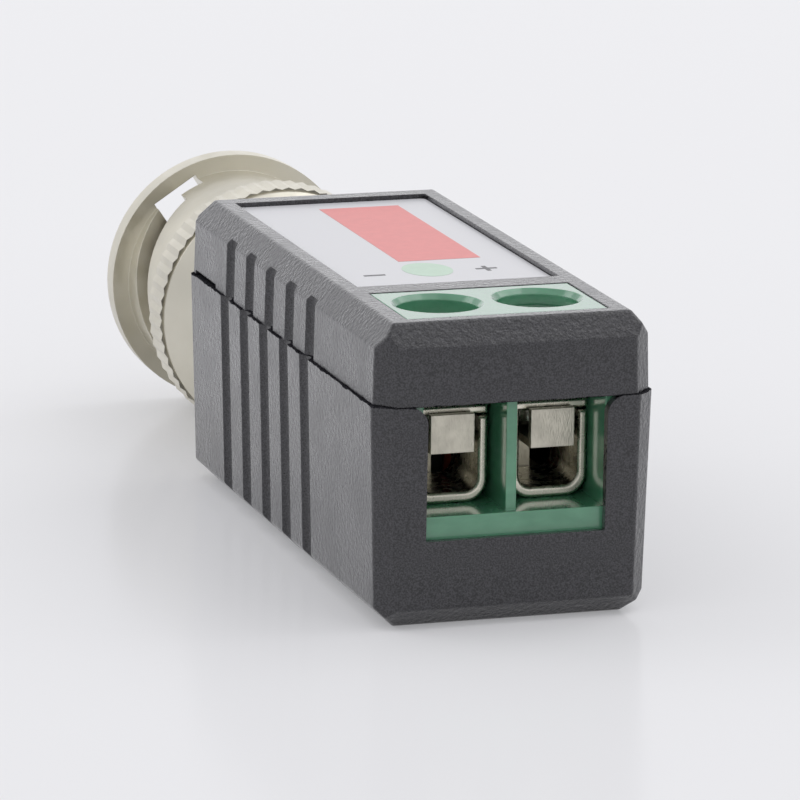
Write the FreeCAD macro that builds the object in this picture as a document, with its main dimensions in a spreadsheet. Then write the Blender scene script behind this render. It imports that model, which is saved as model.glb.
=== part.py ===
import FreeCAD, Part
import math
import os
import Sketcher

# A video balun: a two-part moulded case with a screw terminal block at one end
# and a bayonet plug at the other. Millimetres, +Z up, +Y from the terminals to
# the plug. The origin is the centre of the case's bottom face.

# Driving sizes
SIZES = {
    # Case
    "case_length": 33.2,
    "case_width": 14.2,
    "case_height": 14.95,
    "seam_height": 11.0,
    "shell_step": 0.12,
    "draft": 1.5,
    "corner_side": 1.0,
    "corner_front": 0.95,
    "corner_rear": 0.5,
    "bottom_chamfer": 1.0,
    "crown_drop": 1.15,
    "crown_lean": 38.0,
    "edge_round": 0.25,
    "side_wall": 1.1,
    "front_wall": 0.95,
    "rear_wall": 1.2,
    "floor_wall": 1.2,
    "top_wall": 1.4,
    "front_skin": 0.55,
    "groove_count": 5,
    "groove_pitch": 3.53,
    "groove_width": 1.5,
    "groove_depth": 0.38,
    "groove_start": 11.6,
    "groove_shift": 0.55,
    "groove_margin": 0.9,
    "window_width": 9.05,
    "sill_rise": 0.15,
    "window_round": 0.9,
    "rear_post_depth": 1.4,
    "rear_post_gap": 0.3,
    "rear_post_drop": 0.6,
    "dowel_radius": 0.6,
    "dowel_length": 2.4,
    "tongue_drop": 2.0,
    "pry_slot_start": 0.9,
    "pry_slot_length": 3.8,
    "pry_slot_depth": 0.6,
    "pry_slot_height": 0.25,
    # Label
    "label_width": 10.3,
    "label_length": 21.4,
    "label_start": 9.5,
    "label_thickness": 0.12,
    "label_corner": 0.3,
    "recess_depth": 0.35,
    # Circuit board
    "board_drop": 2.8,
    "board_thickness": 1.2,
    "board_inset": 1.7,
    "board_start": 1.3,
    "board_end": 28.6,
    "ledge_overlap": 0.5,
    "pin_stick_out": 1.0,
    # Terminal block
    "block_width": 10.1,
    "block_front": 0.6,
    "block_depth": 7.7,
    "block_sink": 0.02,
    "shoulder_drop": 2.95,
    "tower_front": 1.88,
    "tower_depth": 5.9,
    "terminal_pitch": 5.08,
    "block_floor": 1.25,
    "mouth_lip": 0.6,
    "chamber_setback": 0.4,
    "partition": 0.52,
    "block_side": 0.45,
    "tower_wall": 0.55,
    "access_radius": 2.0,
    "access_depth": 2.03,
    "access_edge": 0.25,
    # Screws, cages and contacts
    "screw_set": 3.1,
    "screw_sink": 1.06,
    "screw_radius": 1.45,
    "head_radius": 1.85,
    "head_height": 0.95,
    "slot_width": 0.6,
    "slot_depth": 0.5,
    "loose_lift": 0.3,
    "cage_inner_width": 3.0,
    "cage_depth": 4.2,
    "cage_sheet": 0.45,
    "cage_floor_sheet": 0.5,
    "cage_inner_height": 3.85,
    "cage_slit": 0.15,
    "cage_outer_bend": 1.05,
    "cage_inner_bend": 0.65,
    "cage_edge": 0.12,
    "collar_radius": 1.9,
    "collar_height": 0.65,
    "contact_width": 2.2,
    "contact_sheet": 0.4,
    "contact_height": 2.65,
    "flap_drop": 1.4,
    "flap_lead": 0.13,
    "leg_width": 1.0,
    # Parts on the board
    "core_start": 14.6,
    "core_outer_radius": 3.4,
    "core_inner_radius": 1.8,
    "core_height": 3.0,
    "core_edge": 0.3,
    "wire_width": 0.35,
    "turns": 7,
    "turn_pitch": 18.0,
    "disc_start": 22.3,
    "disc_radius": 2.4,
    "disc_thickness": 1.8,
    "disc_stand": 0.9,
    "disc_edge": 0.5,
    "disc_lead_spacing": 2.54,
    "lead_radius": 0.25,
    "chip_start": 9.6,
    "chip_offset": 2.6,
    "chip_length": 3.2,
    "chip_width": 1.6,
    "chip_end": 0.5,
    "chip_plating": 0.04,
    "resistor_height": 0.6,
    "suppressor_height": 1.3,
    # Plug body, set out from the case's rear face along the plug axis
    "axis_height": 7.0,
    "flange_radius": 4.7,
    "flange_thickness": 1.5,
    "neck_radius": 3.8,
    "barrel_radius": 4.7,
    "barrel_length": 4.65,
    "stand_off": 0.15,
    "spigot_radius": 4.25,
    "spigot_length": 5.0,
    "contact_radius": 4.05,
    "contact_reach": 5.8,
    "bore_radius": 3.4,
    "bore_depth": 12.3,
    "tail_bore_radius": 1.9,
    "tail_radius": 2.3,
    "tail_length": 1.8,
    "finger_slot": 0.5,
    "finger_length": 4.8,
    "finger_tip": 0.3,
    "ring_groove": 0.25,
    "ring_thickness": 0.4,
    "ring_gap_angle": 40.0,
    "washer_thickness": 0.3,
    "spring_height": 1.1,
    "spring_sheet": 0.25,
    "spring_waves": 3,
    "gasket_length": 0.95,
    "front_insulator_length": 6.4,
    "rear_insulator_length": 3.9,
    "pin_radius": 0.675,
    "pin_reach": 5.4,
    "pin_tip": 0.4,
    "pin_shoulder_radius": 1.0,
    "pin_tail_radius": 0.45,
    "pin_tail_length": 1.6,
    "lug_radius": 3.4,
    "lug_thickness": 0.4,
    "lug_foot_width": 3.0,
    "lug_foot_length": 2.8,
    "pin_lead_radius": 0.3,
    "pin_lead_bend": 1.0,
    "pin_lead_setback": 3.4,
    "pin_lead_lap": 1.3,
    # Coupling nut
    "nut_radius": 6.9,
    "nut_length": 12.7,
    "nut_bore_radius": 4.9,
    "nut_neck_step": 0.9,
    "nut_flange_length": 1.5,
    "nut_knurl_length": 4.0,
    "nut_lip_length": 2.1,
    "nut_edge": 0.3,
    "nut_rear_taper": 1.3,
    "nut_rear_radius": 5.2,
    "nut_relief_width": 0.2,
    "nut_relief_depth": 0.25,
    "nut_cone_step": 0.2,
    "knurl_teeth": 60,
    "knurl_depth": 0.12,
    "slot_wide": 2.3,
    "slot_setback": 2.6,
    "slot_fall": 2.8,
    "lock_radius": 1.25,
    "notch_width": 2.8,
    "nut_turn": 33.5,
    # Clearances
    "moulding_gap": 0.08,
    "seat_gap": 0.05,
    "press_gap": 0.02,
    "running_gap": 0.1,
    "thread_gap": 0.05,
    "solder_gap": 0.05,
}


class Size:
    """A length that keeps its number beside the sheet expression that gives it."""

    def __init__(self, number, text):
        self.number = float(number)
        self.text = text

    def joined(self, sign, other, number):
        return Size(number, "(%s %s %s)" % (self.text, sign, size_of(other).text))

    def __add__(self, other):
        return self.joined("+", other, self.number + size_of(other).number)

    def __sub__(self, other):
        return self.joined("-", other, self.number - size_of(other).number)

    def __mul__(self, other):
        return self.joined("*", other, self.number * size_of(other).number)

    def __truediv__(self, other):
        return self.joined("/", other, self.number / size_of(other).number)

    def __neg__(self):
        return Size(-self.number, "(0 - %s)" % self.text)

    def __radd__(self, other):
        return size_of(other) + self

    def __rsub__(self, other):
        return size_of(other) - self

    def slope(self):
        """The tangent of an angle in degrees."""
        return Size(math.tan(math.radians(self.number)), "tan(%s)" % self.text)


def size_of(value):
    return value if isinstance(value, Size) else Size(value, repr(value))


class Dimensions:
    """The sheet's aliases as attributes."""

    def __init__(self, sizes):
        for alias, number in sizes.items():
            setattr(self, alias, Size(number, "Dims." + alias))


doc = FreeCAD.newDocument("VideoBalun")
sheet = doc.addObject("Spreadsheet::Sheet", "Dims")
for row, (alias, number) in enumerate(SIZES.items(), start=1):
    sheet.set("A%d" % row, alias)
    sheet.set("B%d" % row, str(number))
    sheet.setAlias("B%d" % row, alias)
doc.recompute()
d = Dimensions(SIZES)
parts = []


# Feature helpers

def vector(x, y, z):
    return FreeCAD.Vector(size_of(x).number, size_of(y).number, size_of(z).number)


def bind(thing, path, value):
    thing.setExpression(path, size_of(value).text)


def new_body(label, x=0.0, y=0.0, z=0.0):
    """A sub-part whose own origin stands at x, y, z."""
    body = doc.addObject("PartDesign::Body", label)
    body.Label = label
    body.Placement = FreeCAD.Placement(vector(x, y, z), FreeCAD.Rotation())
    for side, value in zip("xyz", (x, y, z)):
        bind(body, "Placement.Base." + side, value)
    parts.append(body)
    return body


def new_sketch(body, name, role, lift=0.0):
    """A sketch on one of the body's own origin planes, lifted along its normal."""
    sketch = body.newObject("Sketcher::SketchObject", name)
    plane = [item for item in body.Origin.OriginFeatures if item.Role == role][0]
    sketch.AttachmentSupport = (plane, [""])
    sketch.MapMode = "FlatFace"
    sketch.AttachmentOffset = FreeCAD.Placement(vector(0, 0, lift), FreeCAD.Rotation())
    bind(sketch, "AttachmentOffset.Base.z", lift)
    return sketch


def hold(sketch, geometry, point, x=None, y=None):
    """Hold a point of a sketch's geometry to the sketch's origin."""
    for kind, value in (("DistanceX", x), ("DistanceY", y)):
        if value is not None:
            number = size_of(value).number
            constraint = Sketcher.Constraint(kind, -1, 1, geometry, point, number)
            place = sketch.addConstraint(constraint)
            bind(sketch, "Constraints[%d]" % place, value)


def add_outline(sketch, points):
    """A closed outline of straight lines, each corner held to the sketch's origin."""
    first = sketch.GeometryCount
    spots = [vector(x, y, 0) for x, y in points]
    for index, spot in enumerate(spots):
        sketch.addGeometry(Part.LineSegment(spot, spots[(index + 1) % len(spots)]))
    for index, (x, y) in enumerate(points):
        following = first + (index + 1) % len(spots)
        sketch.addConstraint(Sketcher.Constraint("Coincident", first + index, 2, following, 1))
        hold(sketch, first + index, 1, x, y)


def add_circle(sketch, x, y, radius):
    circle = Part.Circle(vector(x, y, 0), FreeCAD.Vector(0, 0, 1), size_of(radius).number)
    geometry = sketch.addGeometry(circle)
    hold(sketch, geometry, 3, x, y)
    place = sketch.addConstraint(Sketcher.Constraint("Radius", geometry, size_of(radius).number))
    bind(sketch, "Constraints[%d]" % place, radius)


def add_lip(sketch, x, y, radius, side):
    """The waste outside a rounded corner that hangs down and away from x, y."""
    first = sketch.GeometryCount
    away = x + radius * side
    low = y - radius
    turn = (math.pi / 2, math.pi) if side > 0 else (0.0, math.pi / 2)
    circle = Part.Circle(vector(away, low, 0), FreeCAD.Vector(0, 0, 1), radius.number)
    sketch.addGeometry(Part.LineSegment(vector(x, low, 0), vector(x, y, 0)))
    sketch.addGeometry(Part.LineSegment(vector(x, y, 0), vector(away, y, 0)))
    sketch.addGeometry(Part.ArcOfCircle(circle, turn[0], turn[1]))
    top_end, low_end = (1, 2) if side > 0 else (2, 1)
    sketch.addConstraint(Sketcher.Constraint("Coincident", first, 2, first + 1, 1))
    sketch.addConstraint(Sketcher.Constraint("Coincident", first + 1, 2, first + 2, top_end))
    sketch.addConstraint(Sketcher.Constraint("Coincident", first, 1, first + 2, low_end))
    hold(sketch, first, 1, x, low)
    hold(sketch, first + 1, 1, x, y)
    hold(sketch, first + 1, 2, away, y)
    place = sketch.addConstraint(Sketcher.Constraint("Radius", first + 2, radius.number))
    bind(sketch, "Constraints[%d]" % place, radius)


def rectangle(x, y):
    return [(x[0], y[0]), (x[1], y[0]), (x[1], y[1]), (x[0], y[1])]


def extrude(body, sketch, length, cut=False, backwards=False, taper=None):
    """A pad along the sketch's normal, or a pocket that runs the same way."""
    kind = "Pocket" if cut else "Pad"
    feature = body.newObject("PartDesign::" + kind, sketch.Name + kind)
    feature.Profile = sketch
    feature.Reversed = backwards != cut
    feature.Length = size_of(length).number
    bind(feature, "Length", length)
    if taper is not None:
        feature.TaperAngle = size_of(taper).number
        bind(feature, "TaperAngle", taper)
    sketch.Visibility = False
    doc.recompute()
    return feature


def box(body, name, x, y, z, cut=False):
    """A square-cornered pad or pocket between two corners."""
    sketch = new_sketch(body, name, "XY_Plane", z[0])
    add_outline(sketch, rectangle(x, y))
    return extrude(body, sketch, z[1] - z[0], cut)


def upright(body, name, x, y, radius, z, cut=False):
    """A round boss or hole along Z."""
    sketch = new_sketch(body, name, "XY_Plane", z[0])
    add_circle(sketch, x, y, radius)
    return extrude(body, sketch, z[1] - z[0], cut)


def level(body, name, x, z, radius, y, cut=False):
    """A round boss or hole along Y."""
    sketch = new_sketch(body, name, "XZ_Plane", -size_of(y[0]))
    add_circle(sketch, x, z, radius)
    return extrude(body, sketch, y[1] - y[0], cut, backwards=True)


def turned(body, name, profile, angle=360.0):
    """A solid turned about the body's own Y axis from (y, radius) corners."""
    sketch = new_sketch(body, name, "YZ_Plane")
    add_outline(sketch, profile)
    feature = body.newObject("PartDesign::Revolution", name + "Turn")
    feature.Profile = sketch
    feature.ReferenceAxis = (sketch, ["H_Axis"])
    feature.Angle = size_of(angle).number
    bind(feature, "Angle", angle)
    sketch.Visibility = False
    doc.recompute()
    return feature


def tube(inner, outer, start, end):
    """The (y, radius) corners of a plain ring."""
    return [(start, inner), (end, inner), (end, outer), (start, outer)]


def dress(body, kind, name, size, chosen):
    """A fillet or chamfer on the edges that a test picks."""
    base = body.Tip
    edges = base.Shape.Edges
    names = ["Edge%d" % number for number, edge in enumerate(edges, start=1) if chosen(edge)]
    feature = body.newObject("PartDesign::" + kind, name)
    feature.Base = (base, names)
    path = "Radius" if kind == "Fillet" else "Size"
    setattr(feature, path, size_of(size).number)
    bind(feature, path, size)
    doc.recompute()
    return feature


def repeat(body, feature, name, role, span, count):
    """Evenly spaced copies of a feature along an origin axis."""
    pattern = body.newObject("PartDesign::LinearPattern", name)
    pattern.Originals = [feature]
    axis = [item for item in body.Origin.OriginFeatures if item.Role == role][0]
    pattern.Direction = (axis, [""])
    pattern.Length = size_of(span).number
    bind(pattern, "Length", span)
    pattern.Occurrences = int(size_of(count).number)
    bind(pattern, "Occurrences", count)
    body.Tip = pattern
    doc.recompute()
    return pattern


def around(body, features, name, role, angle, count):
    """Evenly spaced copies of features about an origin axis."""
    pattern = body.newObject("PartDesign::PolarPattern", name)
    pattern.Originals = features
    axis = [item for item in body.Origin.OriginFeatures if item.Role == role][0]
    pattern.Axis = (axis, [""])
    pattern.Angle = size_of(angle).number
    bind(pattern, "Angle", angle)
    pattern.Occurrences = int(size_of(count).number)
    bind(pattern, "Occurrences", count)
    body.Tip = pattern
    doc.recompute()
    return pattern


def between(value, low, high, slack=0.001):
    return low - slack <= value <= high + slack


# Places shared by several sub-parts

front = -(d.case_length / 2)
rear = d.case_length / 2
lower_half = d.case_width / 2
upper_half = lower_half - d.shell_step
lean = d.draft.slope()
upper_height = d.case_height - d.seam_height
board_front = front + d.board_start
board_rear = front + d.board_end
board_half = lower_half - d.board_inset
board_top = d.axis_height - d.board_drop
board_bottom = board_top - d.board_thickness
pin_end = board_bottom - d.pin_stick_out
block_half = d.block_width / 2
block_face = front + d.block_front
block_back = block_face + d.block_depth
block_shoulder = d.case_height - d.shoulder_drop
block_top = d.case_height - d.block_sink
chamber_floor = board_top + d.block_floor
chamber_ceiling = block_top - d.access_depth
chamber_mouth = block_shoulder - d.mouth_lip
tower_face = front + d.tower_front
tower_back = tower_face + d.tower_depth
screw_line = tower_face + d.screw_set
flange_back = rear - d.rear_wall - d.seat_gap
flange_front = flange_back - d.flange_thickness
post_back = flange_front - d.seat_gap
post_front = post_back - d.rear_post_depth
post_side = d.lug_radius + d.rear_post_gap
dowel_line = (post_side + lower_half - d.side_wall) / 2
slot_half = d.neck_radius + d.running_gap
flange_half = d.flange_radius + d.seat_gap
cage_half = d.cage_inner_width / 2 + d.cage_sheet
cage_floor = chamber_floor + d.seat_gap
cage_rear = d.cage_depth / 2
leg_front = cage_rear + d.running_gap
contact_base = chamber_floor + d.contact_height
contact_top = contact_base + d.contact_sheet
groove_top = d.case_height - d.groove_margin


def cut_corners(body, half, end, height, backwards):
    """Flat facets up the corners, leaning in with the walls from the seam, and soft outer edges."""
    sketch = new_sketch(body, "Facets", "XY_Plane", d.seam_height)
    for way, along, across in ((-1.0, d.corner_side, d.corner_front), (1.0, d.corner_rear, d.corner_rear)):
        for side in (-1.0, 1.0):
            add_outline(sketch, [((half - across * 2) * side, (end + along) * way),
                                 ((half + across) * side, (end + along) * way),
                                 ((half + across) * side, (end - along * 2) * way)])
    extrude(body, sketch, height, cut=True, backwards=backwards, taper=d.draft)
    dress(body, "Fillet", "SoftEdges", d.edge_round,
          lambda edge: not between(edge.BoundBox.Center.z, d.seam_height.number, d.seam_height.number))


def groove_rows(body, start, half, height, backwards):
    """Upright finger grooves on both sides, round in section and parallel to the leaning wall."""
    radius = (d.groove_width * d.groove_width / 4 + d.groove_depth * d.groove_depth) / (d.groove_depth * 2)
    for name, side in (("Left", -1.0), ("Right", 1.0)):
        sketch = new_sketch(body, name + "Groove", "XY_Plane", d.seam_height)
        add_circle(sketch, (half - d.groove_depth + radius) * side, start, radius)
        groove = extrude(body, sketch, height, cut=True, backwards=backwards)
        across = lean * (-side if backwards else side)
        groove.UseCustomVector = True
        groove.Direction = vector(across, 0.0, -1.0)
        bind(groove, "Direction.x", across)
        doc.recompute()
        repeat(body, groove, name + "Row", "Y_Axis", d.groove_pitch * (d.groove_count - 1), d.groove_count)


# Bottom shell

def make_bottom_shell():
    body = new_body("bottom_shell")
    sketch = new_sketch(body, "Outer", "XY_Plane", d.seam_height)
    add_outline(sketch, rectangle((-lower_half, lower_half), (front, rear)))
    extrude(body, sketch, d.seam_height, backwards=True, taper=-d.draft)
    dress(body, "Chamfer", "BottomEdge", d.bottom_chamfer,
          lambda edge: edge.BoundBox.ZMax < 0.001)
    cut_corners(body, lower_half, rear, d.seam_height, True)

    # Hollow inside, with room for the terminal block's front
    sketch = new_sketch(body, "Hollow", "XY_Plane", d.seam_height)
    inside = lower_half - d.side_wall
    add_outline(sketch, rectangle((-inside, inside), (front + d.front_wall, rear - d.rear_wall)))
    extrude(body, sketch, d.seam_height - d.floor_wall, cut=True, backwards=True, taper=-d.draft)
    seat = block_half + d.seat_gap
    box(body, "BlockSeat", (-seat, seat), (front + d.front_skin, front + d.block_front + d.block_depth),
        (board_top, d.seam_height), cut=True)

    # Window for the wires, open at the seam, with rounded lips
    half = d.window_width / 2
    window = new_sketch(body, "Window", "XZ_Plane", -front - d.front_wall)
    add_outline(window, rectangle((-half, half), (board_top + d.sill_rise, d.seam_height)))
    extrude(body, window, d.front_wall * 2, cut=True)
    lips = new_sketch(body, "Lips", "XZ_Plane", -front - d.front_wall)
    for side in (-1.0, 1.0):
        add_lip(lips, half * side, d.seam_height, d.window_round, side)
    extrude(body, lips, d.front_wall * 2, cut=True)

    # Ledges that carry the board, and posts that hold the plug's flange
    ledge = board_half - d.ledge_overlap
    wall = lower_half - d.side_wall / 2 - d.seam_height * lean
    for name, side in (("Left", -1.0), ("Right", 1.0)):
        ledge_sides = sorted((ledge * side, wall * side), key=lambda size: size.number)
        box(body, name + "Ledge", ledge_sides, (board_front, board_rear),
            (d.floor_wall / 2, board_bottom))
        post_sides = sorted((post_side * side, wall * side), key=lambda size: size.number)
        box(body, name + "Post", post_sides, (post_front, post_back),
            (d.floor_wall / 2, d.seam_height - d.rear_post_drop))
        upright(body, name + "Socket", dowel_line * side, (post_front + post_back) / 2,
                d.dowel_radius + d.seat_gap,
                (d.seam_height - d.rear_post_drop - d.dowel_length, d.seam_height - d.rear_post_drop),
                cut=True)

    # Slot for the plug's neck, and a straight pocket for its flange
    level(body, "NeckRound", 0.0, d.axis_height, slot_half, (rear - d.rear_wall * 2, rear + d.rear_wall),
          cut=True)
    box(body, "NeckSlot", (-slot_half, slot_half), (rear - d.rear_wall * 2, rear + d.rear_wall),
        (d.axis_height, d.seam_height), cut=True)
    box(body, "FlangeSeat", (-flange_half, flange_half), (post_back, rear - d.rear_wall),
        (d.axis_height - flange_half, d.seam_height), cut=True)

    start = front + d.groove_start + d.groove_shift
    groove_rows(body, start, lower_half, d.seam_height, True)
    return body


# Top shell

def make_top_shell():
    body = new_body("top_shell")
    upper_front = front + d.shell_step
    upper_rear = rear - d.shell_step
    sketch = new_sketch(body, "Outer", "XY_Plane", d.seam_height)
    add_outline(sketch, rectangle((-upper_half, upper_half), (upper_front, upper_rear)))
    wall_height = upper_height - d.crown_drop
    extrude(body, sketch, wall_height, taper=-d.draft)
    crown = new_sketch(body, "Crown", "XY_Plane", d.seam_height + wall_height)
    inset = wall_height * lean
    add_outline(crown, rectangle((inset - upper_half, upper_half - inset),
                                 (upper_front + inset, upper_rear - inset)))
    extrude(body, crown, d.crown_drop, taper=-d.crown_lean)
    cut_corners(body, upper_half, upper_rear, upper_height, False)

    # Hollow inside, with room for the terminal block's shoulder
    sketch = new_sketch(body, "Hollow", "XY_Plane", d.seam_height)
    inside = upper_half - d.side_wall
    add_outline(sketch, rectangle((-inside, inside),
                                  (upper_front + d.front_wall, upper_rear - d.rear_wall)))
    extrude(body, sketch, upper_height - d.top_wall, cut=True, taper=-d.draft)
    seat = block_half + d.seat_gap
    box(body, "BlockSeat", (-seat, seat), (front + d.front_skin, block_back + d.moulding_gap),
        (d.seam_height, block_shoulder + d.seat_gap), cut=True)

    # Opening around the screw tower, and the recess for the label
    opening = block_half + d.moulding_gap
    box(body, "TowerOpening", (-opening, opening),
        (tower_face - d.moulding_gap, tower_back + d.moulding_gap),
        (d.seam_height, d.case_height), cut=True)
    recess = d.label_width / 2 + d.seat_gap
    label_face = front + d.label_start
    box(body, "LabelRecess", (-recess, recess),
        (label_face - d.seat_gap, label_face + d.label_length + d.seat_gap),
        (d.case_height - d.recess_depth, d.case_height), cut=True)

    # Tongue that closes the neck slot, the flange's pocket, and the dowels
    tongue = slot_half - d.moulding_gap
    box(body, "Tongue", (-tongue, tongue), (upper_rear - d.rear_wall, upper_rear),
        (d.axis_height + d.tongue_drop, d.seam_height + d.rear_wall))
    level(body, "TongueRound", 0.0, d.axis_height, slot_half, (rear - d.rear_wall * 2, rear + d.rear_wall),
          cut=True)
    box(body, "FlangeSeat", (-flange_half, flange_half), (post_back, rear - d.rear_wall),
        (d.axis_height + d.tongue_drop, d.axis_height + flange_half), cut=True)
    for name, side in (("Left", -1.0), ("Right", 1.0)):
        upright(body, name + "Dowel", dowel_line * side, (post_front + post_back) / 2, d.dowel_radius,
                (d.seam_height - d.rear_post_drop - d.dowel_length + d.running_gap,
                 d.case_height - d.top_wall / 2))

    # A shallow slot at the seam, to pry the shells apart
    slot_rear = upper_rear - d.pry_slot_start
    box(body, "PrySlot", (-upper_half, d.pry_slot_depth - upper_half),
        (slot_rear - d.pry_slot_length, slot_rear), (d.seam_height, d.seam_height + d.pry_slot_height),
        cut=True)
    groove_rows(body, front + d.groove_start, upper_half, groove_top - d.seam_height, False)
    return body


# Label

def make_label():
    body = new_body("label", 0.0, front + d.label_start, d.case_height - d.recess_depth)
    half = d.label_width / 2
    box(body, "Sheet", (-half, half), (0.0, d.label_length), (0.0, d.label_thickness))
    dress(body, "Fillet", "SheetCorners", d.label_corner, lambda edge: edge.BoundBox.ZLength > 0.01)
    return body


# Terminal block

def make_terminal_block():
    body = new_body("terminal_block")
    box(body, "Base", (-block_half, block_half), (block_face, block_back),
        (board_top, block_shoulder))
    box(body, "Tower", (-block_half, block_half), (tower_face, tower_back),
        (block_shoulder, block_top))
    reach = block_half - d.block_side
    box(body, "Setback", (-reach, reach), (block_face, block_face + d.chamber_setback),
        (chamber_floor, chamber_mouth), cut=True)
    near = d.partition / 2
    leg_half = d.leg_width / 2 + d.solder_gap
    leg_span = (screw_line + leg_front - d.solder_gap,
                screw_line + leg_front + d.contact_sheet + d.solder_gap)
    for name, side in (("Left", -1.0), ("Right", 1.0)):
        sides = sorted((near * side, reach * side), key=lambda size: size.number)
        box(body, name + "Mouth", sides, (block_face, tower_face + d.tower_wall),
            (chamber_floor, chamber_mouth), cut=True)
        box(body, name + "Chamber", sides, (tower_face + d.tower_wall, block_back),
            (chamber_floor, block_shoulder - d.tower_wall), cut=True)
        box(body, name + "Rise", sides, (tower_face + d.tower_wall, tower_back - d.tower_wall),
            (chamber_floor, chamber_ceiling), cut=True)
        across = d.terminal_pitch / 2 * side
        upright(body, name + "Access", across, screw_line, d.access_radius,
                (chamber_ceiling, block_top), cut=True)
        box(body, name + "LegHole", (across - leg_half, across + leg_half), leg_span,
            (board_top, chamber_floor), cut=True)
    dress(body, "Chamfer", "AccessRims", d.access_edge,
          lambda edge: (edge.BoundBox.ZMin > block_top.number - 0.001
                        and abs(edge.BoundBox.XLength - edge.BoundBox.YLength) < 0.001))
    return body


# One terminal: screw, wire cage and contact, set out from its screw's axis

def make_screw(label, across, lift):
    tip = contact_top + d.press_gap + lift
    body = new_body(label, across, screw_line, tip)
    high = block_top - d.screw_sink - contact_top - d.press_gap
    under = high - d.head_height
    upright(body, "Thread", 0.0, 0.0, d.screw_radius, (0.0, under))
    upright(body, "Head", 0.0, 0.0, d.head_radius, (under, high))
    half = d.slot_width / 2
    box(body, "Slot", (-d.head_radius, d.head_radius), (-half, half), (high - d.slot_depth, high), cut=True)
    dress(body, "Chamfer", "Tip", d.screw_radius / 5,
          lambda edge: edge.BoundBox.ZMax < 0.001)
    return body


def make_cage(label, across):
    """A strip folded into a loop, with a threaded collar in its top."""
    body = new_body(label, across, screw_line, cage_floor)
    inner = d.cage_inner_width / 2
    ceiling = d.cage_floor_sheet + d.cage_inner_height
    top = ceiling + d.cage_sheet
    sketch = new_sketch(body, "Strip", "XZ_Plane", cage_rear)
    add_outline(sketch, [
        (cage_half, 0.0), (cage_half, ceiling - d.cage_slit), (inner, ceiling - d.cage_slit),
        (inner, d.cage_floor_sheet), (-inner, d.cage_floor_sheet), (-inner, ceiling),
        (cage_half, ceiling), (cage_half, top), (-cage_half, top), (-cage_half, 0.0)])
    extrude(body, sketch, d.cage_depth, backwards=True)

    def along(x, z):
        return lambda edge: (edge.BoundBox.YLength > 1.0
                             and between(abs(edge.BoundBox.Center.x), x.number, x.number)
                             and between(edge.BoundBox.Center.z, z.number, z.number))
    dress(body, "Fillet", "OuterBends", d.cage_outer_bend, along(cage_half, size_of(0.0)))
    dress(body, "Fillet", "InnerBends", d.cage_inner_bend, along(inner, d.cage_floor_sheet))
    dress(body, "Chamfer", "FrontEdges", d.cage_edge,
          lambda edge: edge.BoundBox.YMax < 0.001 - cage_rear.number)
    upright(body, "Collar", 0.0, 0.0, d.collar_radius, (top, top + d.collar_height))
    upright(body, "Thread", 0.0, 0.0, d.screw_radius + d.thread_gap,
            (ceiling - d.cage_sheet, top + d.collar_height), cut=True)
    return body


def make_contact(label, across):
    """A bar through the cage: a turned-up front flap and a solder leg behind."""
    body = new_body(label, across, screw_line, 0.0)
    half = d.contact_width / 2
    leg_half = d.leg_width / 2
    flap_back = -cage_rear - d.flap_lead
    flap_face = flap_back - d.contact_sheet
    leg_back = leg_front + d.contact_sheet
    box(body, "Bar", (-half, half), (flap_face, leg_back), (contact_base, contact_top))
    box(body, "Flap", (-half, half), (flap_face, flap_back),
        (contact_base, chamber_mouth - d.flap_drop))
    box(body, "Leg", (-leg_half, leg_half), (leg_front, leg_back), (pin_end, contact_base))
    return body


# Circuit board and what it carries

core_line = front + d.core_start
core_floor = board_top + d.wire_width + d.press_gap * 2
disc_line = front + d.disc_start
turn_width = d.wire_width / d.core_outer_radius * (180 / math.pi)
winding_sweep = d.turn_pitch * (d.turns - 1)
pin_lead_line = rear - d.pin_lead_setback - d.tail_length - d.flange_thickness - d.rear_wall


def make_board():
    body = new_body("circuit_board")
    box(body, "Sheet", (-board_half, board_half), (board_front, board_rear), (board_bottom, board_top))
    through = (board_bottom, board_top)
    leg_half = d.leg_width / 2 + d.solder_gap
    for name, side in (("Left", -1.0), ("Right", 1.0)):
        across = d.terminal_pitch / 2 * side
        box(body, name + "LegHole", (across - leg_half, across + leg_half),
            (screw_line + leg_front - d.solder_gap,
             screw_line + leg_front + d.contact_sheet + d.solder_gap), through, cut=True)
        upright(body, name + "DiscHole", 0.0, disc_line + d.disc_lead_spacing / 2 * side,
                d.lead_radius + d.solder_gap, through, cut=True)
    upright(body, "PinHole", 0.0, pin_lead_line, d.pin_lead_radius + d.solder_gap, through, cut=True)
    return body


def make_core():
    body = new_body("balun_core", 0.0, core_line, core_floor)
    sketch = new_sketch(body, "Ring", "XY_Plane")
    add_circle(sketch, 0.0, 0.0, d.core_outer_radius)
    add_circle(sketch, 0.0, 0.0, d.core_inner_radius)
    extrude(body, sketch, d.core_height)
    dress(body, "Fillet", "RingEdges", d.core_edge, lambda edge: edge.BoundBox.ZLength < 0.001)
    return body


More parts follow.
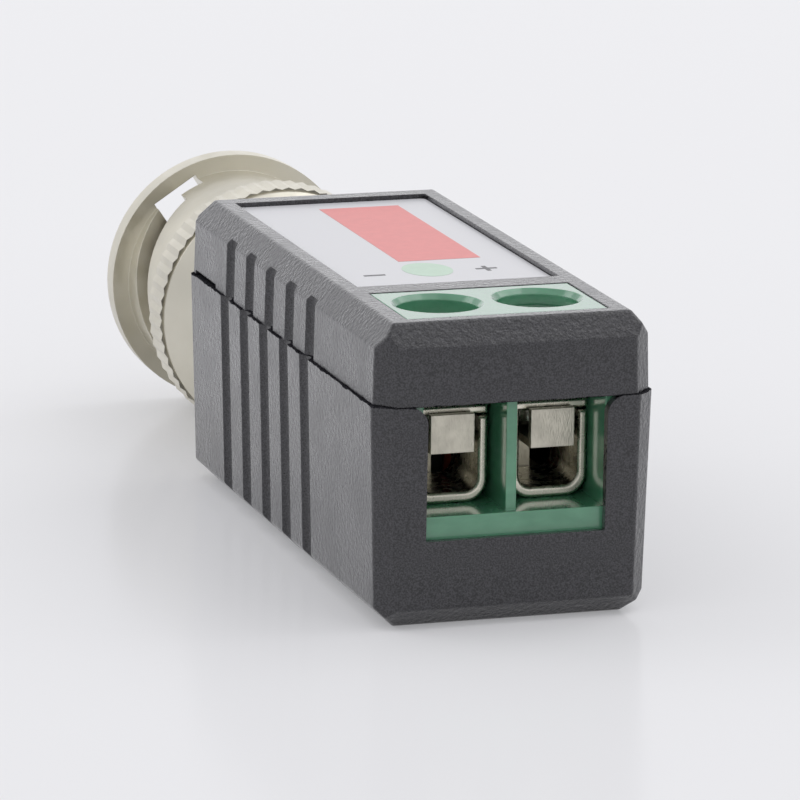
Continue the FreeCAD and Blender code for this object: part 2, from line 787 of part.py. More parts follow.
def make_winding(label, side):
    """Turns of wire round one side of the core, joined by a strand along its rim."""
    body = new_body(label, 0.0, core_line, core_floor)
    gap = d.press_gap
    near = d.core_inner_radius - gap
    far = d.core_outer_radius + gap
    wire = d.wire_width
    turn = new_sketch(body, "Turn", "XZ_Plane")
    add_outline(turn, rectangle((near - wire, far + wire), (-gap - wire, d.core_height + gap + wire)))
    add_outline(turn, rectangle((near, far), (-gap, d.core_height + gap)))
    loop = body.newObject("PartDesign::Revolution", "TurnLoop")
    loop.Profile = turn
    loop.ReferenceAxis = (turn, ["V_Axis"])
    loop.Angle = turn_width.number
    bind(loop, "Angle", turn_width)
    doc.recompute()
    around(body, [loop], "Turns", "Z_Axis", winding_sweep, d.turns)
    strand = new_sketch(body, "Strand", "XZ_Plane")
    add_outline(strand, rectangle((far, far + wire), (-gap - wire, -gap)))
    rim = body.newObject("PartDesign::Revolution", "StrandRim")
    rim.Profile = strand
    rim.ReferenceAxis = (strand, ["V_Axis"])
    rim.Angle = (winding_sweep + turn_width).number
    bind(rim, "Angle", winding_sweep + turn_width)
    doc.recompute()
    body.Tip = rim
    start = Size(90.0 * side, repr(90.0 * side)) - (winding_sweep + turn_width) / 2
    body.Placement = FreeCAD.Placement(body.Placement.Base,
                                       FreeCAD.Rotation(FreeCAD.Vector(0, 0, 1), start.number))
    bind(body, "Placement.Rotation.Angle", start)
    return body


def make_disc():
    """A ceramic disc capacitor on two leads."""
    body = new_body("capacitor", 0.0, disc_line, board_top + d.disc_stand + d.disc_radius)
    half = d.disc_thickness / 2
    sketch = new_sketch(body, "Disc", "YZ_Plane", -half)
    add_circle(sketch, 0.0, 0.0, d.disc_radius)
    extrude(body, sketch, d.disc_thickness)
    dress(body, "Fillet", "DiscEdges", d.disc_edge, lambda edge: edge.BoundBox.XLength < 0.001)
    low = pin_end - (board_top + d.disc_stand + d.disc_radius) + d.pin_stick_out / 2
    for name, side in (("Front", -1.0), ("Rear", 1.0)):
        upright(body, name + "Lead", 0.0, d.disc_lead_spacing / 2 * side, d.lead_radius,
                (low, -d.disc_radius / 2))
    return body


def make_chip(label, side, height):
    """A surface-mounted chip: a block with plated ends."""
    body = new_body(label, d.chip_offset * side, front + d.chip_start, board_top)
    long_half = d.chip_length / 2
    wide_half = d.chip_width / 2
    plate = d.chip_plating
    box(body, "Chip", (-long_half, long_half), (-wide_half, wide_half), (plate, height))
    for name, end in (("Left", -1.0), ("Right", 1.0)):
        sides = sorted((long_half * end, (long_half - d.chip_end) * end), key=lambda size: size.number)
        box(body, name + "End", sides, (-wide_half - plate, wide_half + plate), (0.0, height + plate))
    return body


# Plug body and the pieces on it, set out from the rear face along the plug axis

spigot_start = d.stand_off + d.barrel_length
spigot_end = spigot_start + d.spigot_length
contact_end = spigot_end + d.contact_reach
flange_start = flange_front - rear
tail_start = flange_start - d.tail_length
nut_start = spigot_start + d.running_gap
washer_start = nut_start + d.nut_lip_length + d.seat_gap
spring_start = washer_start + d.washer_thickness
ring_start = spring_start + d.spring_height
ring_end = ring_start + d.ring_thickness
loose_ring = d.nut_bore_radius - d.running_gap * 1.5


def make_plug_body():
    body = new_body("plug_body", 0.0, rear, d.axis_height)
    groove = d.spigot_radius - d.ring_groove
    bore_end = contact_end - d.bore_depth
    turned(body, "Shape", [
        (tail_start, d.tail_bore_radius), (bore_end, d.tail_bore_radius),
        (bore_end, d.bore_radius), (contact_end, d.bore_radius),
        (contact_end, d.contact_radius - d.finger_tip),
        (contact_end - d.finger_tip, d.contact_radius), (spigot_end, d.contact_radius),
        (spigot_end, d.spigot_radius), (ring_end, d.spigot_radius), (ring_end, groove),
        (ring_start, groove), (ring_start, d.spigot_radius), (spigot_start, d.spigot_radius),
        (spigot_start, d.barrel_radius), (d.stand_off, d.barrel_radius),
        (d.stand_off, d.neck_radius), (-d.rear_wall - d.seat_gap, d.neck_radius),
        (-d.rear_wall - d.seat_gap, d.flange_radius), (flange_start, d.flange_radius),
        (flange_start, d.tail_radius), (tail_start, d.tail_radius)])
    half = d.finger_slot / 2
    first = box(body, "FingerSlot", (-half, half), (contact_end - d.finger_length, contact_end),
                (0.0, d.contact_radius + d.finger_tip), cut=True)
    around(body, [first], "FingerSlots", "Y_Axis", 360.0, 4)
    return body


def make_ring_like(label, inner, outer, start, end, angle=360.0):
    body = new_body(label, 0.0, rear, d.axis_height)
    turned(body, "Ring", tube(inner, outer, start, end), angle)
    return body


def make_wave_spring():
    """A wave washer, lofted round through radial sections."""
    inner = d.spigot_radius.number + d.running_gap.number
    outer = loose_ring.number
    middle = spring_start.number + d.spring_height.number / 2
    swing = (d.spring_height.number - d.spring_sheet.number) / 2 - d.press_gap.number
    half = d.spring_sheet.number / 2
    stations = 12 * int(d.spring_waves.number)
    wires = []
    for station in range(stations):
        angle = 2 * math.pi * station / stations
        rise = middle + swing * math.sin(d.spring_waves.number * angle)
        corners = [(inner, rise - half), (outer, rise - half), (outer, rise + half), (inner, rise + half)]
        spots = [FreeCAD.Vector(radius * math.cos(angle), along, radius * math.sin(angle))
                 for radius, along in corners]
        wires.append(Part.makePolygon(spots + spots[:1]))
    feature = doc.addObject("Part::Feature", "wave_spring")
    feature.Label = "wave_spring"
    feature.Shape = Part.makeLoft(wires, True, True, True)
    feature.Placement = FreeCAD.Placement(vector(0.0, rear, d.axis_height), FreeCAD.Rotation())
    parts.append(feature)
    return feature


def make_centre_pin():
    body = new_body("centre_pin", 0.0, rear, d.axis_height)
    shoulder_start = tail_start + d.rear_insulator_length + d.press_gap
    shoulder_end = spigot_end - d.front_insulator_length - d.press_gap
    end = spigot_end + d.pin_reach
    turned(body, "Shape", [
        (tail_start - d.pin_tail_length, 0.0), (end, 0.0), (end, d.pin_radius - d.pin_tip),
        (end - d.pin_tip, d.pin_radius), (shoulder_end, d.pin_radius),
        (shoulder_end, d.pin_shoulder_radius), (shoulder_start, d.pin_shoulder_radius),
        (shoulder_start, d.pin_tail_radius), (tail_start - d.pin_tail_length, d.pin_tail_radius)])
    return body


def make_lug():
    """A solder tag: a ring round the plug's tail with a foot on the board."""
    body = new_body("ground_lug", 0.0, rear, d.axis_height)
    lug_end = flange_start - d.press_gap
    lug_start = lug_end - d.lug_thickness
    turned(body, "Ring", tube(d.tail_radius + d.seat_gap, d.lug_radius, lug_start, lug_end))
    half = d.lug_foot_width / 2
    foot_top = -d.tail_radius - d.seat_gap
    box(body, "Foot", (-half, half), (lug_end - d.lug_foot_length, lug_end),
        (foot_top - d.lug_thickness, foot_top))
    return body


def make_pin_lead():
    """A wire from the board up and along under the centre pin's tail."""
    body = new_body("pin_lead", 0.0, rear, d.axis_height)
    foot = pin_lead_line - rear
    low = pin_end - d.axis_height + d.pin_stick_out / 2
    high = -d.pin_tail_radius - d.pin_lead_radius - d.press_gap
    end = tail_start - d.pin_tail_length + d.pin_lead_lap
    bend = d.pin_lead_bend
    path = new_sketch(body, "Route", "YZ_Plane")
    centre = vector(foot + bend, high - bend, 0)
    path.addGeometry(Part.LineSegment(vector(foot, low, 0), vector(foot, high - bend, 0)))
    arc = Part.Circle(centre, FreeCAD.Vector(0, 0, 1), bend.number)
    path.addGeometry(Part.ArcOfCircle(arc, math.pi / 2, math.pi))
    path.addGeometry(Part.LineSegment(vector(foot + bend, high, 0), vector(end, high, 0)))
    path.addConstraint(Sketcher.Constraint("Coincident", 0, 2, 1, 2))
    path.addConstraint(Sketcher.Constraint("Coincident", 1, 1, 2, 1))
    hold(path, 0, 1, foot, low)
    hold(path, 0, 2, foot, high - bend)
    hold(path, 1, 3, foot + bend, high - bend)
    hold(path, 2, 1, foot + bend)
    hold(path, 2, 2, end, high)
    section = new_sketch(body, "Section", "XY_Plane", low)
    add_circle(section, 0.0, foot, d.pin_lead_radius)
    pipe = body.newObject("PartDesign::AdditivePipe", "Lead")
    pipe.Profile = section
    pipe.Spine = (path, ["Edge1", "Edge2", "Edge3"])
    doc.recompute()
    return body


# Coupling nut, with its bayonet slots

def make_nut():
    body = new_body("coupling_nut", 0.0, rear, d.axis_height)
    end = nut_start + d.nut_length
    lip_end = nut_start + d.nut_lip_length
    lip_radius = d.spigot_radius + d.running_gap
    knurl_end = nut_start + d.nut_knurl_length
    flange_face = end - d.nut_flange_length
    neck_radius = d.nut_radius - d.nut_neck_step
    relief = nut_start + d.nut_rear_taper
    relief_radius = d.nut_radius - d.nut_relief_depth
    edge = d.nut_edge
    turned(body, "Shape", [
        (nut_start, lip_radius), (lip_end, lip_radius), (lip_end, d.nut_bore_radius),
        (end - edge, d.nut_bore_radius), (end, d.nut_bore_radius + edge),
        (end, d.nut_radius - edge), (end - edge, d.nut_radius), (flange_face, d.nut_radius),
        (flange_face, neck_radius), (knurl_end, neck_radius),
        (knurl_end, d.nut_radius - edge), (knurl_end - edge, d.nut_radius),
        (relief + d.nut_relief_width, d.nut_radius), (relief + d.nut_relief_width, relief_radius),
        (relief, relief_radius), (relief, d.nut_radius - d.nut_cone_step),
        (nut_start, d.nut_rear_radius)])

    # Knurl: one pocket outside a star of teeth
    star = new_sketch(body, "Knurl", "XZ_Plane", -knurl_end)
    teeth = int(d.knurl_teeth.number)
    step = math.pi / teeth
    for tooth in range(2 * teeth):
        spots = []
        for corner in (tooth, tooth + 1):
            reach = d.nut_radius.number - d.knurl_depth.number * (corner % 2)
            spots.append(FreeCAD.Vector(reach * math.cos(corner * step),
                                        reach * math.sin(corner * step), 0))
        star.addGeometry(Part.LineSegment(spots[0], spots[1]))
    add_circle(star, 0.0, 0.0, d.nut_radius + d.running_gap)
    extrude(body, star, d.nut_knurl_length, cut=True)

    # Two bayonet slots: a notch in from the mouth, a ramp back and a hole to lock in
    notch_half = d.notch_width / 2
    slot_half_width = d.slot_wide / 2
    clear = neck_radius + d.running_gap
    ramp_middle = end - d.slot_setback
    lock_middle = ramp_middle - d.slot_fall
    box(body, "Notches", (-notch_half, notch_half), (ramp_middle, end),
        (-clear, clear), cut=True)
    for name, side in (("Upper", 1.0), ("Lower", -1.0)):
        profile = new_sketch(body, name + "Ramp", "YZ_Plane")
        add_outline(profile, rectangle((ramp_middle - slot_half_width, ramp_middle + slot_half_width),
                                       (d.contact_radius * side, clear * side)))
        ramp = body.newObject("PartDesign::SubtractiveHelix", name + "RampSweep")
        ramp.Profile = profile
        ramp.ReferenceAxis = (profile, ["H_Axis"])
        ramp.Mode = "pitch-height-angle"
        ramp.Reversed = True
        ramp.Pitch = d.slot_fall.number * 4
        bind(ramp, "Pitch", d.slot_fall * 4)
        ramp.Height = d.slot_fall.number
        bind(ramp, "Height", d.slot_fall)
        doc.recompute()
    lock = new_sketch(body, "Locks", "YZ_Plane", -clear)
    add_circle(lock, lock_middle, 0.0, d.lock_radius)
    extrude(body, lock, clear * 2, cut=True)
    body.Placement = FreeCAD.Placement(body.Placement.Base,
                                       FreeCAD.Rotation(FreeCAD.Vector(0, 1, 0), -d.nut_turn.number))
    bind(body, "Placement.Rotation.Angle", -d.nut_turn)
    return body


# The whole assembly

make_bottom_shell()
make_top_shell()
make_label()
make_terminal_block()
for word, side, lift in (("left", -1.0, size_of(0.0)), ("right", 1.0, d.loose_lift)):
    across = d.terminal_pitch / 2 * side
    make_screw("terminal_screw_" + word, across, lift)
    make_cage("wire_cage_" + word, across)
    make_contact("contact_" + word, across)
make_board()
make_core()
make_winding("winding_left", -1.0)
make_winding("winding_right", 1.0)
make_disc()
make_chip("resistor", -1.0, d.resistor_height)
make_chip("surge_suppressor", 1.0, d.suppressor_height)
make_plug_body()
make_ring_like("front_insulator", d.pin_radius + d.press_gap, d.bore_radius - d.press_gap,
               spigot_end - d.front_insulator_length, spigot_end)
make_ring_like("rear_insulator", d.pin_tail_radius + d.press_gap, d.tail_bore_radius - d.press_gap,
               tail_start, tail_start + d.rear_insulator_length)
make_centre_pin()
make_lug()
make_pin_lead()
make_ring_like("thrust_washer", d.spigot_radius + d.running_gap, loose_ring,
               washer_start, spring_start - d.press_gap)
make_wave_spring()
make_ring_like("retaining_ring", d.spigot_radius - d.ring_groove + d.press_gap, loose_ring,
               ring_start + d.press_gap, ring_end - d.press_gap, 360.0 - d.ring_gap_angle)
make_ring_like("gasket", d.spigot_radius + d.press_gap, loose_ring,
               ring_end + d.press_gap, ring_end + d.gasket_length)
make_nut()


# Checks, then one file for each sub-part

doc.recompute()
for item in doc.Objects:
    faults = [word for word in item.State if word in ("Invalid", "Error")]
    if faults:
        raise RuntimeError("%s did not build: %s" % (item.Label, faults))
for item in parts:
    if item.Shape.isNull() or not item.Shape.isValid():
        raise RuntimeError("%s has no valid shape" % item.Label)

os.makedirs("parts", exist_ok=True)
for item in parts:
    item.Shape.exportStep("parts/%s.step" % item.Label)
    print("%-22s %d solid, %9.2f mm3" % (item.Label, len(item.Shape.Solids), item.Shape.Volume))
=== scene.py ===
import math

import bpy
from mathutils import Matrix, Vector


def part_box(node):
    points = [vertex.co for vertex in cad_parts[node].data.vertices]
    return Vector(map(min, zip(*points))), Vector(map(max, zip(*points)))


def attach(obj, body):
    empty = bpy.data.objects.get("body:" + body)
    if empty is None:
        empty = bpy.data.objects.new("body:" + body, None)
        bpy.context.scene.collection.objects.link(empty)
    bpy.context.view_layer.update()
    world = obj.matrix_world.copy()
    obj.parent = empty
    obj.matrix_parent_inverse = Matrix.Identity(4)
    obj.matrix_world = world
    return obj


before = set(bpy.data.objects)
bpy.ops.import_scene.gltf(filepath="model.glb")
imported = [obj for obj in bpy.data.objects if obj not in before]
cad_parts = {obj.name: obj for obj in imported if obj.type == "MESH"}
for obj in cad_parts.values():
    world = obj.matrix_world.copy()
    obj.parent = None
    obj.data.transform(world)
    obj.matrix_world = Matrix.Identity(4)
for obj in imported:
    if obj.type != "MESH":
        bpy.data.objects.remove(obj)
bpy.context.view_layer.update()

# Looks for the video balun. Metres, in the frame's own axes.

MM = 0.001

# The photograph's camera: what it looks at, from where, and how long its lens is
AIM = Vector((-5.14, -14.01, 10.83)) * MM
AZIMUTH = math.radians(17.754)
ELEVATION = math.radians(13.143)
ROLL = math.radians(0.656)
DISTANCE = 284.85 * MM
LENS = 267.84
SENSOR = 36.0

# Each light's place, its width and height, and its power in watts
LIGHTS = {
    "right_softbox": ((0.45, 0.05, 0.55), (0.5, 0.5), 0.8),
    "back_softbox": ((0.32, 1.39, 0.36), (1.2, 0.8), 0.8),
    "top_softbox": ((0.24, -0.18, 0.75), (0.5, 0.5), 0.34),
    "left_softbox": ((-0.6, 0.4, 0.5), (0.6, 0.5), 1.1),
}

# The floor: how far it reaches each way, how far it lies below the part, and how much it glows
FLOOR_REACH = 3.0
FLOOR_DROP = 0.02 * MM
FLOOR_GLOW = 0.27

# The seam between the shells: its height, and the widest line of painted shade along it
SEAM_HEIGHT = 11.0 * MM
SEAM_SHADE_WIDTH = 0.09 * MM

# The shells' moulded surface: its colour grain, its relief and the softness of its edges
GRAIN_SIZE = 0.08 * MM
RELIEF_SIZE = 0.24 * MM
RELIEF_DEPTH = 0.055 * MM
SHELL_EDGE = 0.12 * MM

# Print on the label, as places along X and Y
RED_FIELD_X = (-1.1 * MM, 3.2 * MM)
RED_FIELD_Y = (-0.9 * MM, 12.8 * MM)
MINUS_AT = (-3.25 * MM, -3.76 * MM)
PLUS_AT = (2.64 * MM, -3.52 * MM)
GREEN_FIELD_AT = (-0.3 * MM, -3.1 * MM)
GREEN_FIELD_REACH = (1.25 * MM, 1.6 * MM)
MARK_LENGTH = 1.1 * MM
MARK_WIDTH = 0.22 * MM
INK_THICKNESS = 0.012 * MM


# Camera, lights and floor

def make_camera():
    back = Vector((-math.sin(AZIMUTH) * math.cos(ELEVATION),
                   -math.cos(AZIMUTH) * math.cos(ELEVATION), math.sin(ELEVATION)))
    right = Vector((math.cos(AZIMUTH), -math.sin(AZIMUTH), 0.0))
    turn = Matrix.Rotation(ROLL, 3, back)
    right = turn @ right
    up = back.cross(right)
    camera = bpy.data.objects.new("camera", bpy.data.cameras.new("camera"))
    camera.data.lens = LENS
    camera.data.sensor_width = SENSOR
    camera.data.clip_start = 0.01
    camera.data.clip_end = 20.0
    pose = Matrix((right, up, back)).transposed().to_4x4()
    pose.translation = AIM + back * DISTANCE
    camera.matrix_world = pose
    bpy.context.collection.objects.link(camera)
    bpy.context.scene.camera = camera


def area_light(name, place, size, power):
    """A softbox that faces the origin."""
    light = bpy.data.objects.new(name, bpy.data.lights.new(name, "AREA"))
    light.data.shape = "RECTANGLE"
    light.data.size, light.data.size_y = size
    light.data.energy = power
    light.location = place
    light.rotation_euler = (-light.location).to_track_quat("-Z", "Y").to_euler()
    bpy.context.collection.objects.link(light)


def make_world():
    world = bpy.data.worlds.new("studio")
    bpy.context.scene.world = world
    world.use_nodes = True
    background = world.node_tree.nodes["Background"]
    background.inputs["Color"].default_value = (0.95, 0.95, 0.98, 1.0)
    background.inputs["Strength"].default_value = 0.82


def make_floor():
    corners = rectangle((-FLOOR_REACH, FLOOR_REACH), (-FLOOR_REACH, FLOOR_REACH))
    mesh = bpy.data.meshes.new("floor")
    mesh.from_pydata([(x, y, -FLOOR_DROP) for x, y in corners], [], [(0, 1, 2, 3)])
    floor = bpy.data.objects.new("floor", mesh)
    bpy.context.collection.objects.link(floor)
    mesh.materials.append(floor_white())


def floor_white():
    """A pale sheet that keeps shadows, with a little of its own tone added where it is seen."""
    material, tree, shader = new_material("floor_white", (0.80, 0.80, 0.81), 0.16)
    shader.inputs["Specular IOR Level"].default_value = 0.03
    path = tree.nodes.new("ShaderNodeLightPath")
    seen = add_numbers(tree, path.outputs["Is Camera Ray"], path.outputs["Is Glossy Ray"])
    seen = add_numbers(tree, seen, path.outputs["Is Transmission Ray"])
    share = tree.nodes.new("ShaderNodeMath")
    share.operation = "MULTIPLY"
    share.inputs[1].default_value = FLOOR_GLOW
    glow = tree.nodes.new("ShaderNodeEmission")
    glow.inputs["Color"].default_value = (0.86, 0.86, 0.88, 1.0)
    mix = tree.nodes.new("ShaderNodeMixShader")
    tree.links.new(seen, share.inputs[0])
    tree.links.new(share.outputs["Value"], mix.inputs["Fac"])
    tree.links.new(shader.outputs["BSDF"], mix.inputs[1])
    tree.links.new(glow.outputs["Emission"], mix.inputs[2])
    tree.links.new(mix.outputs["Shader"], tree.nodes["Material Output"].inputs["Surface"])
    return material


def add_numbers(tree, first, second):
    """The sum of two values, held to one at most."""
    node = tree.nodes.new("ShaderNodeMath")
    node.use_clamp = True
    tree.links.new(first, node.inputs[0])
    tree.links.new(second, node.inputs[1])
    return node.outputs["Value"]


# Materials

def new_material(name, color, roughness, metallic=0.0):
    """A plain finish, and the nodes that detail is added to."""
    material = bpy.data.materials.new(name)
    material.use_nodes = True
    shader = material.node_tree.nodes["Principled BSDF"]
    shader.inputs["Base Color"].default_value = (*color, 1.0)
    shader.inputs["Roughness"].default_value = roughness
    shader.inputs["Metallic"].default_value = metallic
    return material, material.node_tree, shader


def noise(tree, size, detail=4.0, stretch=(1.0, 1.0, 1.0)):
    """Noise whose features are about the given size in metres."""
    place = tree.nodes.new("ShaderNodeTexCoord")
    scale = tree.nodes.new("ShaderNodeMapping")
    scale.inputs["Scale"].default_value = stretch
    texture = tree.nodes.new("ShaderNodeTexNoise")
    texture.inputs["Scale"].default_value = 1.0 / size
    texture.inputs["Detail"].default_value = detail
    tree.links.new(place.outputs["Object"], scale.inputs["Vector"])
    tree.links.new(scale.outputs["Vector"], texture.inputs["Vector"])
    return texture.outputs["Fac"]


def ramp(tree, source, low, high, start=0.3, end=0.7):
    """A colour that runs from low to high as the source does from start to end."""
    node = tree.nodes.new("ShaderNodeValToRGB")
    node.color_ramp.elements[0].position = start
    node.color_ramp.elements[0].color = (*low, 1.0)
    node.color_ramp.elements[1].position = end
    node.color_ramp.elements[1].color = (*high, 1.0)
    tree.links.new(source, node.inputs["Fac"])
    return node.outputs["Color"]


def spread(tree, source, low, high, start=0.3, end=0.7):
    """A value that runs from low to high as the source does from start to end."""
    node = tree.nodes.new("ShaderNodeMapRange")
    node.inputs["From Min"].default_value = start
    node.inputs["From Max"].default_value = end
    node.inputs["To Min"].default_value = low
    node.inputs["To Max"].default_value = high
    tree.links.new(source, node.inputs["Value"])
    return node.outputs["Result"]


def bump(tree, shader, source, depth, edge=0.0):
    """Relief of the given depth, over edges softened by a radius."""
    node = tree.nodes.new("ShaderNodeBump")
    node.inputs["Strength"].default_value = 1.0
    node.inputs["Distance"].default_value = depth
    tree.links.new(source, node.inputs["Height"])
    if edge:
        soft = tree.nodes.new("ShaderNodeBevel")
        soft.samples = 6
        soft.inputs["Radius"].default_value = edge
        tree.links.new(soft.outputs["Normal"], node.inputs["Normal"])
    tree.links.new(node.outputs["Normal"], shader.inputs["Normal"])
    tree.links.new(node.outputs["Normal"], shader.inputs["Coat Normal"])


def shell_plastic():
    """Fine-grained black moulding, with a ragged line of painted shade where the shells meet."""
    material, tree, shader = new_material("shell_plastic", (0.022, 0.021, 0.026), 0.3)
    shader.inputs["Coat Roughness"].default_value = 0.2
    shader.inputs["Coat IOR"].default_value = 1.27
    grain = noise(tree, GRAIN_SIZE, detail=1.0)
    relief = noise(tree, RELIEF_SIZE, detail=3.0)
    patches = noise(tree, 2.5 * MM, detail=3.0)
    speck = ramp(tree, grain, (0.006, 0.006, 0.008), (0.046, 0.045, 0.051), start=0.36, end=0.64)
    wall = outside_seam_shade(tree)
    tree.links.new(speck, shader.inputs["Base Color"])
    tree.links.new(spread(tree, patches, low=0.20, high=0.34), shader.inputs["Roughness"])
    # Reflection and coat fall to nothing along the seam: painted shade for the gap between the
    # shells.
    for socket, full in (("Specular IOR Level", 0.5), ("Coat Weight", 0.85)):
        tree.links.new(spread(tree, wall, low=0.0, high=full, start=0.0, end=1.0),
                       shader.inputs[socket])
    bump(tree, shader, relief, RELIEF_DEPTH, SHELL_EDGE)
    return material


def outside_seam_shade(tree):
    """Zero in a line of painted shade of uneven width along the seam, and one on the rest of the
    wall.
    """
    place = tree.nodes.new("ShaderNodeTexCoord")
    axes = tree.nodes.new("ShaderNodeSeparateXYZ")
    tree.links.new(place.outputs["Object"], axes.inputs["Vector"])
    height = tree.nodes.new("ShaderNodeMath")
    height.operation = "SUBTRACT"
    height.inputs[1].default_value = SEAM_HEIGHT
    tree.links.new(axes.outputs["Z"], height.inputs[0])
    gap = tree.nodes.new("ShaderNodeMath")
    gap.operation = "ABSOLUTE"
    tree.links.new(height.outputs["Value"], gap.inputs[0])
    ragged = noise(tree, 0.9 * MM, detail=3.0)
    width = spread(tree, ragged, low=0.0, high=SEAM_SHADE_WIDTH, start=0.42, end=0.66)
    share = tree.nodes.new("ShaderNodeMath")
    share.operation = "GREATER_THAN"
    tree.links.new(gap.outputs["Value"], share.inputs[0])
    tree.links.new(width, share.inputs[1])
    return share.outputs["Value"]


def label_sheet():
    """Pale film with a slight wave in it."""
    material, tree, shader = new_material("label_sheet", (0.64, 0.64, 0.66), 0.32)
    bump(tree, shader, noise(tree, 1.8 * MM, detail=2.0), depth=0.003 * MM)
    return material


def ink(name, color):
    """Print that is a little uneven in tone."""
    material, tree, shader = new_material(name, color, 0.38)
    tone = [channel * 0.94 for channel in color]
    tree.links.new(ramp(tree, noise(tree, 0.5 * MM), tone, color), shader.inputs["Base Color"])
    return material


def terminal_plastic():
    """Glossy green moulding that lets a little light in."""
    material, tree, shader = new_material("terminal_plastic", (0.085, 0.27, 0.155), 0.16)
    shader.inputs["Coat Weight"].default_value = 1.0
    shader.inputs["Coat Roughness"].default_value = 0.12
    shader.inputs["Subsurface Weight"].default_value = 0.3
    shader.inputs["Subsurface Radius"].default_value = (0.3, 0.8, 0.4)
    shader.inputs["Subsurface Scale"].default_value = 0.5 * MM
    swirl = noise(tree, 1.2 * MM, detail=3.0, stretch=(1.0, 0.5, 2.0))
    tree.links.new(ramp(tree, swirl, (0.075, 0.25, 0.14), (0.10, 0.30, 0.175)),
                   shader.inputs["Base Color"])
    bump(tree, shader, noise(tree, 0.6 * MM, detail=2.0), depth=0.003 * MM, edge=0.1 * MM)
    return material


def metal(name, color, roughness, size, depth, edge=0.05 * MM, stretch=(1.0, 1.0, 1.0)):
    """Plated metal with a faint tarnish and fine marks."""
    material, tree, shader = new_material(name, color, roughness, 1.0)
    tarnish = noise(tree, size * 8.0, detail=3.0)
    marks = noise(tree, size, detail=2.0, stretch=stretch)
    dull = [channel * 0.82 for channel in color]
    tree.links.new(ramp(tree, tarnish, dull, color, start=0.35, end=0.6), shader.inputs["Base Color"])
    tree.links.new(spread(tree, marks, low=roughness * 0.8, high=roughness * 1.25),
                   shader.inputs["Roughness"])
    bump(tree, shader, marks, depth, edge)
    return material


def plain(name, color, roughness):
    """A dull finish with a fine grain."""
    material, tree, shader = new_material(name, color, roughness)
    grain = noise(tree, 0.3 * MM)
    tone = [channel * 0.85 for channel in color]
    tree.links.new(ramp(tree, grain, tone, color), shader.inputs["Base Color"])
    bump(tree, shader, grain, depth=0.01 * MM, edge=0.05 * MM)
    return material


def paint(material, *nodes):
    for node in nodes:
        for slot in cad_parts[node].material_slots:
            slot.material = material


def finish_nodes():
    """Every solid's own finish."""
    nickel = metal("nickel_plate", (0.74, 0.71, 0.61), 0.36, 0.9 * MM, 0.0015 * MM)
    cage = metal("cage_steel", (0.74, 0.71, 0.60), 0.26, 0.5 * MM, 0.002 * MM, edge=0.12 * MM)
    strip = metal("contact_strip", (0.62, 0.59, 0.50), 0.40, 0.12 * MM, 0.02 * MM,
                  stretch=(2.5, 1.0, 0.5))
    screw = metal("screw_steel", (0.72, 0.72, 0.70), 0.2, 0.35 * MM, 0.06 * MM)
    spring = metal("spring_steel", (0.52, 0.52, 0.51), 0.3, 0.15 * MM, 0.004 * MM)
    tinned = metal("tinned", (0.66, 0.66, 0.64), 0.35, 0.15 * MM, 0.006 * MM)
    gold = metal("gold_flash", (0.83, 0.62, 0.28), 0.22, 0.15 * MM, 0.003 * MM)
    paint(shell_plastic(), "bottom_shell", "top_shell")
    paint(label_sheet(), "label")
    paint(terminal_plastic(), "terminal_block")
    paint(nickel, "plug_body", "coupling_nut")
    paint(cage, "wire_cage_left", "wire_cage_right")
    paint(strip, "contact_left", "contact_right")
    paint(screw, "terminal_screw_left", "terminal_screw_right")
    paint(spring, "retaining_ring", "wave_spring", "thrust_washer")
    paint(tinned, "ground_lug", "pin_lead")
    paint(gold, "centre_pin")
    paint(plain("insulator_white", (0.78, 0.76, 0.70), 0.38), "front_insulator", "rear_insulator")
    paint(plain("silicone_red", (0.30, 0.05, 0.035), 0.55), "gasket")
    paint(plain("laminate_green", (0.02, 0.14, 0.05), 0.3), "circuit_board")
    paint(plain("ferrite_grey", (0.035, 0.035, 0.04), 0.5), "balun_core")
    paint(plain("enamel_red", (0.42, 0.06, 0.03), 0.28), "winding_left")
    paint(plain("enamel_amber", (0.50, 0.24, 0.04), 0.28), "winding_right")
    paint(plain("resin_brown", (0.38, 0.16, 0.04), 0.3), "capacitor")
    paint(plain("chip_black", (0.02, 0.02, 0.022), 0.45), "resistor")
    paint(plain("chip_buff", (0.30, 0.25, 0.17), 0.5), "surge_suppressor")


# Print on the label

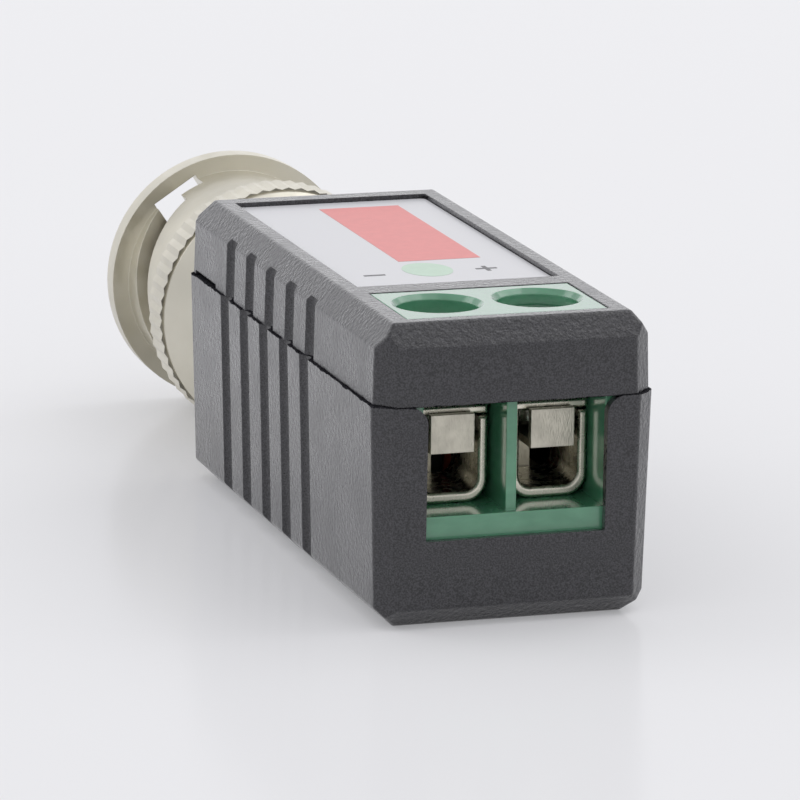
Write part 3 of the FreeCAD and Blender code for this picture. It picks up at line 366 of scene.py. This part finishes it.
def thin_plate(name, material, outline, z):
    """A flat printed shape of a few hundredths of a millimetre."""
    count = len(outline)
    verts = [(x, y, z) for x, y in outline] + [(x, y, z + INK_THICKNESS) for x, y in outline]
    faces = [tuple(reversed(range(count))), tuple(range(count, 2 * count))]
    faces += [(i, (i + 1) % count, count + (i + 1) % count, count + i) for i in range(count)]
    mesh = bpy.data.meshes.new(name)
    mesh.from_pydata(verts, [], faces)
    mesh.materials.append(material)
    piece = bpy.data.objects.new(name, mesh)
    bpy.context.collection.objects.link(piece)
    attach(piece, "case")


def rectangle(x, y):
    return [(x[0], y[0]), (x[1], y[0]), (x[1], y[1]), (x[0], y[1])]


def cross(at, reach, half):
    """A plus sign's outline."""
    arms = [(half, -reach), (half, -half), (reach, -half),
            (reach, half), (half, half), (half, reach),
            (-half, reach), (-half, half), (-reach, half),
            (-reach, -half), (-half, -half), (-half, -reach)]
    return [(at[0] + x, at[1] + y) for x, y in arms]


def oval(at, reach, count=40):
    turns = [math.tau * i / count for i in range(count)]
    return [(at[0] + reach[0] * math.cos(turn), at[1] + reach[1] * math.sin(turn)) for turn in turns]


def make_print():
    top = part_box("label")[1][2]
    red = ink("ink_red", (0.76, 0.23, 0.22))
    green = ink("ink_green", (0.52, 0.68, 0.55))
    grey = ink("ink_grey", (0.10, 0.10, 0.105))
    reach = MARK_LENGTH / 2
    half = MARK_WIDTH / 2
    thin_plate("label_red_field", red, rectangle(RED_FIELD_X, RED_FIELD_Y), top)
    thin_plate("label_green_field", green, oval(GREEN_FIELD_AT, GREEN_FIELD_REACH), top)
    thin_plate("label_minus", grey, rectangle((MINUS_AT[0] - reach, MINUS_AT[0] + reach),
                                              (MINUS_AT[1] - half, MINUS_AT[1] + half)), top)
    thin_plate("label_plus", grey, cross(PLUS_AT, reach, half), top)


bpy.context.scene.view_settings.view_transform = "Standard"
make_camera()
make_world()
make_floor()
for light_name, (light_place, light_size, light_power) in LIGHTS.items():
    area_light(light_name, light_place, light_size, light_power)
finish_nodes()
make_print()
